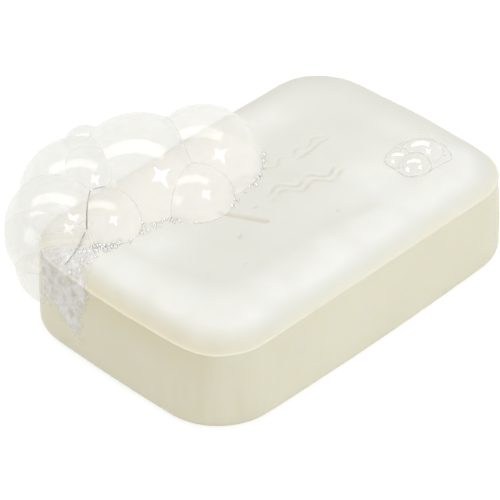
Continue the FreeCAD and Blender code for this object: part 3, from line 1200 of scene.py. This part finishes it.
def foot_point(bubble, ground, angle):
    """The point in one direction where a bubble's film meets the bar, or None."""
    def on_skin(rise):
        level = Vector((math.cos(angle), math.sin(angle), 0.0)) * math.cos(rise)
        return bubble.middle + (level + Vector((0.0, 0.0, math.sin(rise)))) * bubble.radius

    low = math.radians(-89.0)
    high = math.radians(80.0)
    if ground.clearance(on_skin(low)) > 0 or ground.clearance(on_skin(high)) < 0:
        return None
    for _ in range(18):
        middle = (low + high) / 2
        if ground.clearance(on_skin(middle)) < 0:
            low = middle
        else:
            high = middle
    return on_skin(high)


def foot_lines(bubbles, ground, hidden=()):
    """The lines where the bubbles' films meet the bar, but for those that foam hides."""
    lines = []
    for bubble in bubbles:
        if bubble.name in hidden:
            continue
        ring = [foot_point(bubble, ground, 2 * math.pi * n / LINE_STEPS) for n in range(LINE_STEPS)]
        others = [other for other in bubbles if other is not bubble]
        keep = [
            place is not None and all(other.power(place) > -0.01 * MM for other in others)
            for place in ring
        ]
        lines += kept_runs(ring, keep)
    return lines


def foot_stretch(bubble, others, ground, first, last):
    """The part of a bubble's foot between two directions, in degrees, that lies in the open."""
    steps = max(4, int(abs(last - first)))
    line = []
    for step in range(steps + 1):
        place = foot_point(bubble, ground, math.radians(interpolate(first, last, step / steps)))
        if place is not None and all(other.power(place) > 0 for other in others):
            line.append(place)
    return line


def line_mesh(name, lines):
    """A mesh of edges only, one chain for each line."""
    points = []
    edges = []
    for line in lines:
        start = len(points)
        points += [tuple(place) for place in line]
        edges += [(start + n, start + n + 1) for n in range(len(line) - 1)]
    mesh = bpy.data.meshes.new(name)
    mesh.from_pydata(points, edges, [])
    return mesh


def skirt_outline(ground):
    """The closed edge of the skirt round the small bubbles, on the bar's top."""
    corners = [Vector((x * MM, y * MM, 0.1)) for x, y in SMALL_SKIRT]
    for _ in range(3):
        pairs = zip(corners, corners[1:] + corners[:1])
        corners = [one.lerp(two, share) for one, two in pairs for share in (0.25, 0.75)]
    line = []
    for corner in corners:
        hit, _, _, _ = ground.tree.ray_cast(corner, Vector((0.0, 0.0, -1.0)))
        line.append(hit + Vector((0.0, 0.0, 0.05 * MM)))
    return line + line[:1]


def skirt_mesh(name, ground):
    """A thin film that rises a little from its edge towards the small bubbles."""
    outline = skirt_outline(ground)[:-1]
    middle = sum(outline, Vector()) / len(outline)
    work = bmesh.new()
    rings = []
    for share, lift in ((1.0, 0.0), (0.93, 0.12), (0.84, 0.3), (0.7, 0.5), (0.35, 0.6)):
        rise = Vector((0.0, 0.0, lift * MM))
        rings.append([work.verts.new(middle.lerp(place, share) + rise) for place in outline])
    for outer, inner in zip(rings, rings[1:]):
        for index in range(len(outline)):
            after = (index + 1) % len(outline)
            work.faces.new((outer[index], outer[after], inner[after], inner[index]))
    work.faces.new(rings[-1])
    for face in work.faces:
        face.smooth = True
    work.normal_update()
    if sum(face.normal.z for face in work.faces) < 0:
        bmesh.ops.reverse_faces(work, faces=work.faces)
    mesh = bpy.data.meshes.new(name)
    work.to_mesh(mesh)
    work.free()
    return mesh


def laid_line(ground, corners, lift):
    """A line through places given by x and y, laid on top of the bar and lifted a little."""
    line = []
    for start, stop in zip(corners, corners[1:]):
        for step in range(8):
            x, y = (interpolate(start[axis], stop[axis], step / 8) * MM for axis in (0, 1))
            hit, _, _, _ = ground.tree.ray_cast(Vector((x, y, 0.1)), Vector((0.0, 0.0, -1.0)))
            line.append(hit + Vector((0.0, 0.0, lift)))
    return line


def dark_pair(first, second):
    """Whether two bubbles share one of the thick, dark lines."""
    return {first.name, second.name} in DARK_CREASES


def plain_pair(first, second):
    """Whether two bubbles share one of the clear but thin lines."""
    return {first.name, second.name} in PLAIN_CREASES


def faint_pair(first, second):
    """Whether two bubbles share a line that hardly shows."""
    return not dark_pair(first, second) and not plain_pair(first, second)


def built(name):
    """A piece that an earlier step has built."""
    piece = bpy.data.objects.get(name)
    if piece is None:
        raise RuntimeError("build " + name + " first")
    return piece


# Foam on the left end

FOAM_OUTLINE = [
    (8.9, -27.2),
    (8.3, -21.8),
    (6.6, -15.7),
    (8.9, -12.4),
    (11.3, -9.7),
    (12.0, -7.2),
    (17.0, -7.2),
    (24.0, -12.0),
    (25.5, -17.0),
    (23.0, -22.6),
    (16.5, -23.6),
    (12.5, -26.2),
]
FOAM_VIEW = Vector((0.77, 0.0, -0.64))
FOAM_THICKNESS = 0.3 * MM
FOAM_GRID = 0.2 * MM


def inside_share(point, outline):
    """The distance of a point from an outline, positive inside it and negative outside."""
    nearest = 1.0e9
    inside = False
    for start, stop in zip(outline, outline[1:] + outline[:1]):
        across = stop - start
        share = min(1.0, max(0.0, (point - start).dot(across) / across.length_squared))
        nearest = min(nearest, (start + across * share - point).length)
        if (start.y > point.y) != (stop.y > point.y):
            if point.x < start.x + across.x * (point.y - start.y) / across.y:
                inside = not inside
    return nearest if inside else -nearest


def foam_sheet(ground):
    """The patch of foam as a sheet that hugs the bar's shoulder and end, uneven at its edges."""
    outline = [Vector(corner) * MM for corner in FOAM_OUTLINE]
    up = Vector((-FOAM_VIEW.z, 0.0, FOAM_VIEW.x))
    low = [min(corner[axis] for corner in outline) - MM for axis in (0, 1)]
    high = [max(corner[axis] for corner in outline) + MM for axis in (0, 1)]
    columns = int((high[0] - low[0]) / FOAM_GRID)
    rows = int((high[1] - low[1]) / FOAM_GRID)
    work = bmesh.new()
    edge = work.verts.layers.float.new("edge")
    grid = {}
    for row in range(rows + 1):
        for column in range(columns + 1):
            place = Vector((low[0] + column * FOAM_GRID, low[1] + row * FOAM_GRID))
            rough = noise.noise(Vector((place.x, place.y, 0.0)) / (2.4 * MM)) * 0.9 * MM
            depth = inside_share(place, outline) + rough
            if depth < 0:
                continue
            start = up * place.y + Vector((0.0, place.x, 0.0)) - FOAM_VIEW * 0.1
            hit, normal, _, _ = ground.tree.ray_cast(start, FOAM_VIEW)
            if hit is None:
                continue
            swell = 0.7 + 0.8 * noise.noise(hit / (2.2 * MM))
            fade = min(1.0, depth / (1.2 * MM))
            vertex = work.verts.new(hit + normal * FOAM_THICKNESS * max(0.15, swell * fade))
            vertex[edge] = min(1.0, depth / (2.6 * MM))
            grid[row, column] = vertex
    for row, column in grid:
        corners = [(row, column), (row, column + 1), (row + 1, column + 1), (row + 1, column)]
        if all(corner in grid for corner in corners):
            face = work.faces.new([grid[corner] for corner in corners])
            face.smooth = True
    bmesh.ops.delete(work, geom=[v for v in work.verts if not v.link_faces], context="VERTS")
    work.normal_update()
    if sum(face.normal.dot(FOAM_VIEW) for face in work.faces) > 0:
        bmesh.ops.reverse_faces(work, faces=work.faces)
    mesh = bpy.data.meshes.new("foam_sheet")
    work.to_mesh(mesh)
    work.free()
    return mesh


# Operators

class SOAP_OT_bar(bpy.types.Operator):
    """Build the bar's finished skin"""

    bl_idname = "soap.bar"
    bl_label = "Bar"

    def execute(self, context):
        settings = context.scene.soap_bar
        rings = settle_line(settings, bar_rings(settings))
        points = wear_down(settings, rings)
        shares = {
            "washed": washed_and_sheen_share(settings, rings, points),
            "shaded": left_shoulder_shade_share(settings, rings, points),
            "worn": groove_colour_and_shade_share(settings, rings.reshape(-1, 3)),
            "line": line_highlight_share(settings, rings, points),
            "under_bubble_light": bubble_light_share(settings, points),
        }
        mesh = skin_of_rings("bar_skin", points, rings.shape[0], rings.shape[1], shares)
        piece = add_piece("bar_skin", mesh, soap_material(settings))
        declare(piece, "soap", "soap_bar")
        return {"FINISHED"}


class SOAP_OT_large_bubbles(bpy.types.Operator):
    """Build the films, walls and wet threads of the large bubbles"""

    bl_idname = "soap.large_bubbles"
    bl_label = "Large bubbles"

    def execute(self, context):
        settings = context.scene.soap_lather
        ground = Ground(built("bar_skin"))
        bubbles = [Bubble(name, *size) for name, size in LARGE_BUBBLES.items()]
        film = film_material(settings, "soap_film", 0.05, 0.37)
        films = add_piece("large_films", film_mesh("large_films", bubbles, ground, 5), film)
        declare(films, "soap_film", "large_bubbles")
        inner = film_material(settings, "inner_film", 0.02, 0.06)
        declare(add_piece("large_walls", wall_mesh("large_walls", bubbles, ground), inner), "soap_film")
        threads = thread_tree()
        finish = border_material("wet_border", (0.78, 0.78, 0.74), (0.9, 0.9, 0.88), 0.15, 0.55)
        pale = border_material("pale_border", (0.93, 0.93, 0.91), (1.0, 1.0, 0.99), 0.05, 0.3)
        kinds = (("large_creases", plain_pair, finish), ("faint_creases", faint_pair, pale))
        for name, wanted, look in kinds:
            lines = crease_lines(bubbles, ground, wanted)
            sizes = {"Radius": settings.border_radius, "Unevenness": 0.5, "Finish": look}
            declare(grow_with(threads, name, line_mesh(name, lines), sizes), "soap_film")
        dark = border_material("dark_border", (0.36, 0.34, 0.29), (0.56, 0.55, 0.5), 0.5, 1.0)
        lines = crease_lines(bubbles, ground, dark_pair) + [laid_line(ground, WET_LINE, 0.4 * MM)]
        sizes = {"Radius": settings.foot_radius, "Unevenness": 0.6, "Finish": dark}
        seams = grow_with(threads, "dark_creases", line_mesh("dark_creases", lines), sizes)
        declare(seams, "soap_film")
        feet = line_mesh("large_feet", foot_lines(bubbles, ground, HIDDEN_FEET))
        sizes = {"Radius": settings.foot_radius, "Unevenness": 0.7, "Finish": finish}
        declare(grow_with(threads, "large_feet", feet, sizes), "soap_film")
        return {"FINISHED"}


class SOAP_OT_small_bubbles(bpy.types.Operator):
    """Build the small cluster of bubbles on the right hand part of the top"""

    bl_idname = "soap.small_bubbles"
    bl_label = "Small bubbles"

    def execute(self, context):
        settings = context.scene.soap_lather
        ground = Ground(built("bar_skin"))
        bubbles = [Bubble(name, *size) for name, size in SMALL_BUBBLES.items()]
        film = film_material(settings, "small_film", 0.11, 0.22)
        films = add_piece("small_films", film_mesh("small_films", bubbles, ground, 4), film)
        declare(films, "soap_film", "small_bubbles")
        skirt_film = film_material(settings, "skirt_film", 0.05, 0.2)
        skirt = add_piece("small_skirt", skirt_mesh("small_skirt", ground), skirt_film)
        declare(skirt, "soap_film")
        threads = thread_tree()
        lines = crease_lines(bubbles, ground, lambda first, second: True)
        lines += foot_lines(bubbles, ground)
        lines.append(skirt_outline(ground))
        finish = border_material("small_border", (0.74, 0.72, 0.71), (0.86, 0.84, 0.83), 0.15, 0.5)
        sizes = {"Radius": settings.border_radius, "Unevenness": 0.6, "Finish": finish}
        edges = line_mesh("small_threads", lines)
        declare(grow_with(threads, "small_threads", edges, sizes), "soap_film")
        return {"FINISHED"}


class SOAP_OT_beads(bpy.types.Operator):
    """Build the beads of foam along the feet of the large bubbles"""

    bl_idname = "soap.beads"
    bl_label = "Foam beads"

    def execute(self, context):
        settings = context.scene.soap_lather
        ground = Ground(built("bar_skin"))
        bubbles = {name: Bubble(name, *size) for name, size in LARGE_BUBBLES.items()}
        tree = bead_tree()
        film = bead_material(settings, "bead_film", 0.35, settings.bead_rim)
        lines = {
            20 + index: laid_line(ground, line, 0.2 * MM) for index, line in enumerate(BEAD_LINES)
        }
        for name, first, last, seed in BEAD_STRETCHES:
            bubble = bubbles[name]
            others = [other for other in bubbles.values() if other is not bubble]
            lines[seed] = foot_stretch(bubble, others, ground, first, last)
        for seed, line in lines.items():
            if len(line) < 2:
                continue
            sizes = {
                "Spacing": settings.bead_spacing,
                "Smallest": 0.2 * MM,
                "Largest": settings.bead_largest,
                "Spread": 1.2 * MM,
                "Seed": seed,
                "Finish": film,
            }
            piece = grow_with(tree, f"foam_beads_{seed}", line_mesh("beads", [line]), sizes)
            declare(piece, "foam")
        return {"FINISHED"}


class SOAP_OT_foam(bpy.types.Operator):
    """Build the patch of fine foam on the left end"""

    bl_idname = "soap.foam"
    bl_label = "Fine foam"

    def execute(self, context):
        settings = context.scene.soap_lather
        ground = Ground(built("bar_skin"))
        sheet = foam_sheet(ground)
        cells_from = sheet.copy()
        piece = add_piece("foam_sheet", sheet, foam_material())
        declare(piece, "foam", "fine_foam")
        sizes = {
            "Spacing": settings.foam_spacing,
            "Smallest": 0.3 * MM,
            "Largest": settings.foam_largest,
            "Density": 4.0e6,
            "Seed": 21,
            "Finish": bead_material(settings, "foam_cell", 0.12, settings.foam_rim),
        }
        cells = grow_with(foam_tree(), "foam_cells", cells_from, sizes)
        declare(cells, "foam")
        return {"FINISHED"}


class SOAP_OT_stage(bpy.types.Operator):
    """Set up the floor, the surroundings, the lamps and the camera"""

    bl_idname = "soap.stage"
    bl_label = "Stage"

    def execute(self, context):
        settings = context.scene.soap_stage
        add_floor()
        add_surroundings(context.scene)
        add_lamps(settings)
        add_camera(context.scene, settings)
        context.scene.view_settings.view_transform = "Standard"
        context.scene.cycles.transparent_max_bounces = 32
        return {"FINISHED"}


# Stage

FLOOR_SIZE = 4.0
FILL_LIGHT = 0.355
FLOOR_GLOW = 0.8
STRIP_LENGTH_SHARE = 1.8
STRIP_WIDTH_SHARE = 0.45
STRIP_HEADING = math.radians(-51.5)
STRIP_SHIFT = (-0.03, 0.32)
STRIP_GLOW = 2.36
STAR_DIRECTION = (0.02, -0.72, 0.69)
STAR_DISTANCE = 1.0
STAR_GLOW = 6.0
WINDOW_DIRECTION = (-0.914, 0.232, 0.336)
WINDOW_GLOW = 1.95
WINDOW_SIZE = 0.5
CARD_PLACE = (0.3, -1.0, 0.27)
CARD_LENGTH = 1.3
CARD_WIDTH = 0.5
CARD_GLOW = 1.05
CARD_COLOUR = (0.78, 0.85, 1.0)


def seen_background(tree):
    """One for the rays that see the background: the camera's and those off or through gloss."""
    path = add_node(tree, "ShaderNodeLightPath")
    seen = math_node(
        tree, "MAXIMUM", path.outputs["Is Camera Ray"], path.outputs["Is Glossy Ray"]
    )
    return math_node(tree, "MAXIMUM", seen, path.outputs["Is Transmission Ray"])


def add_floor():
    """A plain white floor that keeps a faint shadow of the bar."""
    material, tree, output = new_material("white_floor")
    matte = add_node(tree, "ShaderNodeBsdfDiffuse")
    matte.inputs["Color"].default_value = (0.8, 0.8, 0.78, 1.0)
    faint = add_node(tree, "ShaderNodeBsdfDiffuse")
    faint.inputs["Color"].default_value = (0.28, 0.28, 0.28, 1.0)
    glow = add_node(tree, "ShaderNodeEmission")
    glow.inputs["Strength"].default_value = FLOOR_GLOW
    both = add_node(tree, "ShaderNodeAddShader")
    tree.links.new(faint.outputs[0], both.inputs[0])
    tree.links.new(glow.outputs[0], both.inputs[1])
    surface = mix_shaders(tree, seen_background(tree), matte.outputs[0], both.outputs[0])
    tree.links.new(surface, output.inputs["Surface"])
    half = FLOOR_SIZE / 2
    corners = [(-half, -half, 0), (half, -half, 0), (half, half, 0), (-half, half, 0)]
    mesh = bpy.data.meshes.new("floor")
    mesh.from_pydata(corners, [], [(0, 1, 2, 3)])
    add_piece("floor", mesh, material)


def add_surroundings(scene):
    """A white background, and an even fill light that leaves the soap's own colour."""
    world = bpy.data.worlds.new("white_room")
    world.use_nodes = True
    tree = world.node_tree
    tree.nodes.clear()
    output = add_node(tree, "ShaderNodeOutputWorld")
    white = add_node(tree, "ShaderNodeBackground")
    white.inputs["Strength"].default_value = 1.0
    fill = add_node(tree, "ShaderNodeBackground")
    fill.inputs["Color"].default_value = (1.0, 0.99, 0.96, 1.0)
    fill.inputs["Strength"].default_value = FILL_LIGHT
    surface = mix_shaders(tree, seen_background(tree), fill.outputs[0], white.outputs[0])
    tree.links.new(surface, output.inputs["Surface"])
    scene.world = world


def add_area_lamp(name, place, target, length, width, glow):
    """A rectangular softbox of a given brightness that faces a point."""
    lamp = bpy.data.lights.new(name, "AREA")
    lamp.shape = "RECTANGLE"
    lamp.size = length
    lamp.size_y = width
    lamp.energy = math.pi * length * width * glow
    holder = bpy.data.objects.new(name, lamp)
    bpy.context.scene.collection.objects.link(holder)
    holder.location = place
    holder.rotation_mode = "QUATERNION"
    holder.rotation_quaternion = (Vector(target) - Vector(place)).to_track_quat("-Z", "Y")
    holder.visible_camera = False
    return holder


def add_star_lamp():
    """A white umbrella seen from below: a lit panel with four drawn-out points."""
    material, tree, output = new_material("umbrella_glow")
    glow = add_node(tree, "ShaderNodeEmission")
    glow.inputs["Strength"].default_value = STAR_GLOW
    tree.links.new(glow.outputs[0], output.inputs["Surface"])
    way = Vector(STAR_DIRECTION).normalized()
    turn = way.to_track_quat("Z", "Y")
    reaches = (0.36, 0.12, 0.30, 0.13, 0.30, 0.12, 0.40, 0.12)
    corners = []
    for index, reach in enumerate(reaches):
        angle = 2 * math.pi * (index + 0.1) / len(reaches)
        spoke = Vector((math.cos(angle), math.sin(angle), 0.0)) * reach
        corners.append(tuple(way * STAR_DISTANCE + turn @ spoke))
    mesh = bpy.data.meshes.new("umbrella")
    middle = len(corners)
    corners.append(tuple(way * STAR_DISTANCE))
    faces = [((index + 1) % middle, index, middle) for index in range(middle)]
    mesh.from_pydata(corners, [], faces)
    panel = add_piece("umbrella", mesh, material)
    panel.visible_camera = False
    panel.visible_shadow = False


def add_lamps(settings):
    """A long softbox overhead, an umbrella and a card in front, a weak window at the left."""
    height = settings.lamp_height
    place = (STRIP_SHIFT[0] * height, STRIP_SHIFT[1] * height, height)
    strip = add_area_lamp(
        "long_softbox", place, (place[0], place[1], 0.0),
        STRIP_LENGTH_SHARE * height, STRIP_WIDTH_SHARE * height, STRIP_GLOW,
    )
    turn = Matrix.Rotation(STRIP_HEADING, 3, "Z").to_quaternion()
    strip.rotation_quaternion = turn @ Vector((0, 0, -1)).to_track_quat("-Z", "Y")
    add_star_lamp()
    way = Vector(WINDOW_DIRECTION).normalized()
    add_area_lamp("left_window", way, (0, 0, 0), WINDOW_SIZE, WINDOW_SIZE, WINDOW_GLOW)
    card = add_area_lamp("front_card", CARD_PLACE, (0, 0, 0), CARD_LENGTH, CARD_WIDTH, CARD_GLOW)
    card.data.color = CARD_COLOUR
    card.visible_glossy = False


def add_camera(scene, settings):
    """The camera at the photograph's viewing angle."""
    low, high = BAR_LOW, BAR_HIGH
    target = Vector((-7.27 * MM, -0.44 * MM, (low.z + high.z) / 2 + 0.35 * MM))
    level = math.cos(settings.elevation)
    back = Vector(
        (
            math.sin(settings.azimuth) * level,
            -math.cos(settings.azimuth) * level,
            math.sin(settings.elevation),
        )
    )
    camera = bpy.data.objects.new("camera", bpy.data.cameras.new("camera"))
    scene.collection.objects.link(camera)
    camera.data.sensor_width = 36.0
    camera.data.lens = settings.lens
    camera.data.clip_start = 0.01
    camera.location = target + back * settings.distance
    upright = (-back).to_track_quat("-Z", "Y")
    camera.rotation_mode = "QUATERNION"
    camera.rotation_quaternion = upright @ Matrix.Rotation(settings.roll, 3, "Z").to_quaternion()
    scene.camera = camera


class SOAP_PT_panel(bpy.types.Panel):
    """The soap's sizes, colours and building steps"""

    bl_label = "Bar of Soap"
    bl_space_type = "VIEW_3D"
    bl_region_type = "UI"
    bl_category = "Soap"

    def draw(self, context):
        for settings in (context.scene.soap_bar, context.scene.soap_lather, context.scene.soap_stage):
            box = self.layout.box()
            for name in settings.bl_rna.properties.keys():
                if name not in ("rna_type", "name"):
                    box.prop(settings, name)
        for operator in OPERATORS:
            self.layout.operator(operator.bl_idname)


OPERATORS = (
    SOAP_OT_bar,
    SOAP_OT_large_bubbles,
    SOAP_OT_small_bubbles,
    SOAP_OT_beads,
    SOAP_OT_foam,
    SOAP_OT_stage,
)
CLASSES = (SoapBarSettings, LatherSettings, StageSettings, *OPERATORS, SOAP_PT_panel)


def register():
    for kind in CLASSES:
        bpy.utils.register_class(kind)
    bpy.types.Scene.soap_bar = bpy.props.PointerProperty(type=SoapBarSettings)
    bpy.types.Scene.soap_lather = bpy.props.PointerProperty(type=LatherSettings)
    bpy.types.Scene.soap_stage = bpy.props.PointerProperty(type=StageSettings)


def unregister():
    del bpy.types.Scene.soap_stage
    del bpy.types.Scene.soap_lather
    del bpy.types.Scene.soap_bar
    for kind in reversed(CLASSES):
        bpy.utils.unregister_class(kind)


def main():
    register()
    bpy.ops.soap.bar()
    bpy.ops.soap.large_bubbles()
    bpy.ops.soap.small_bubbles()
    bpy.ops.soap.beads()
    bpy.ops.soap.foam()
    bpy.ops.soap.stage()


if __name__ == "__main__":
    main()
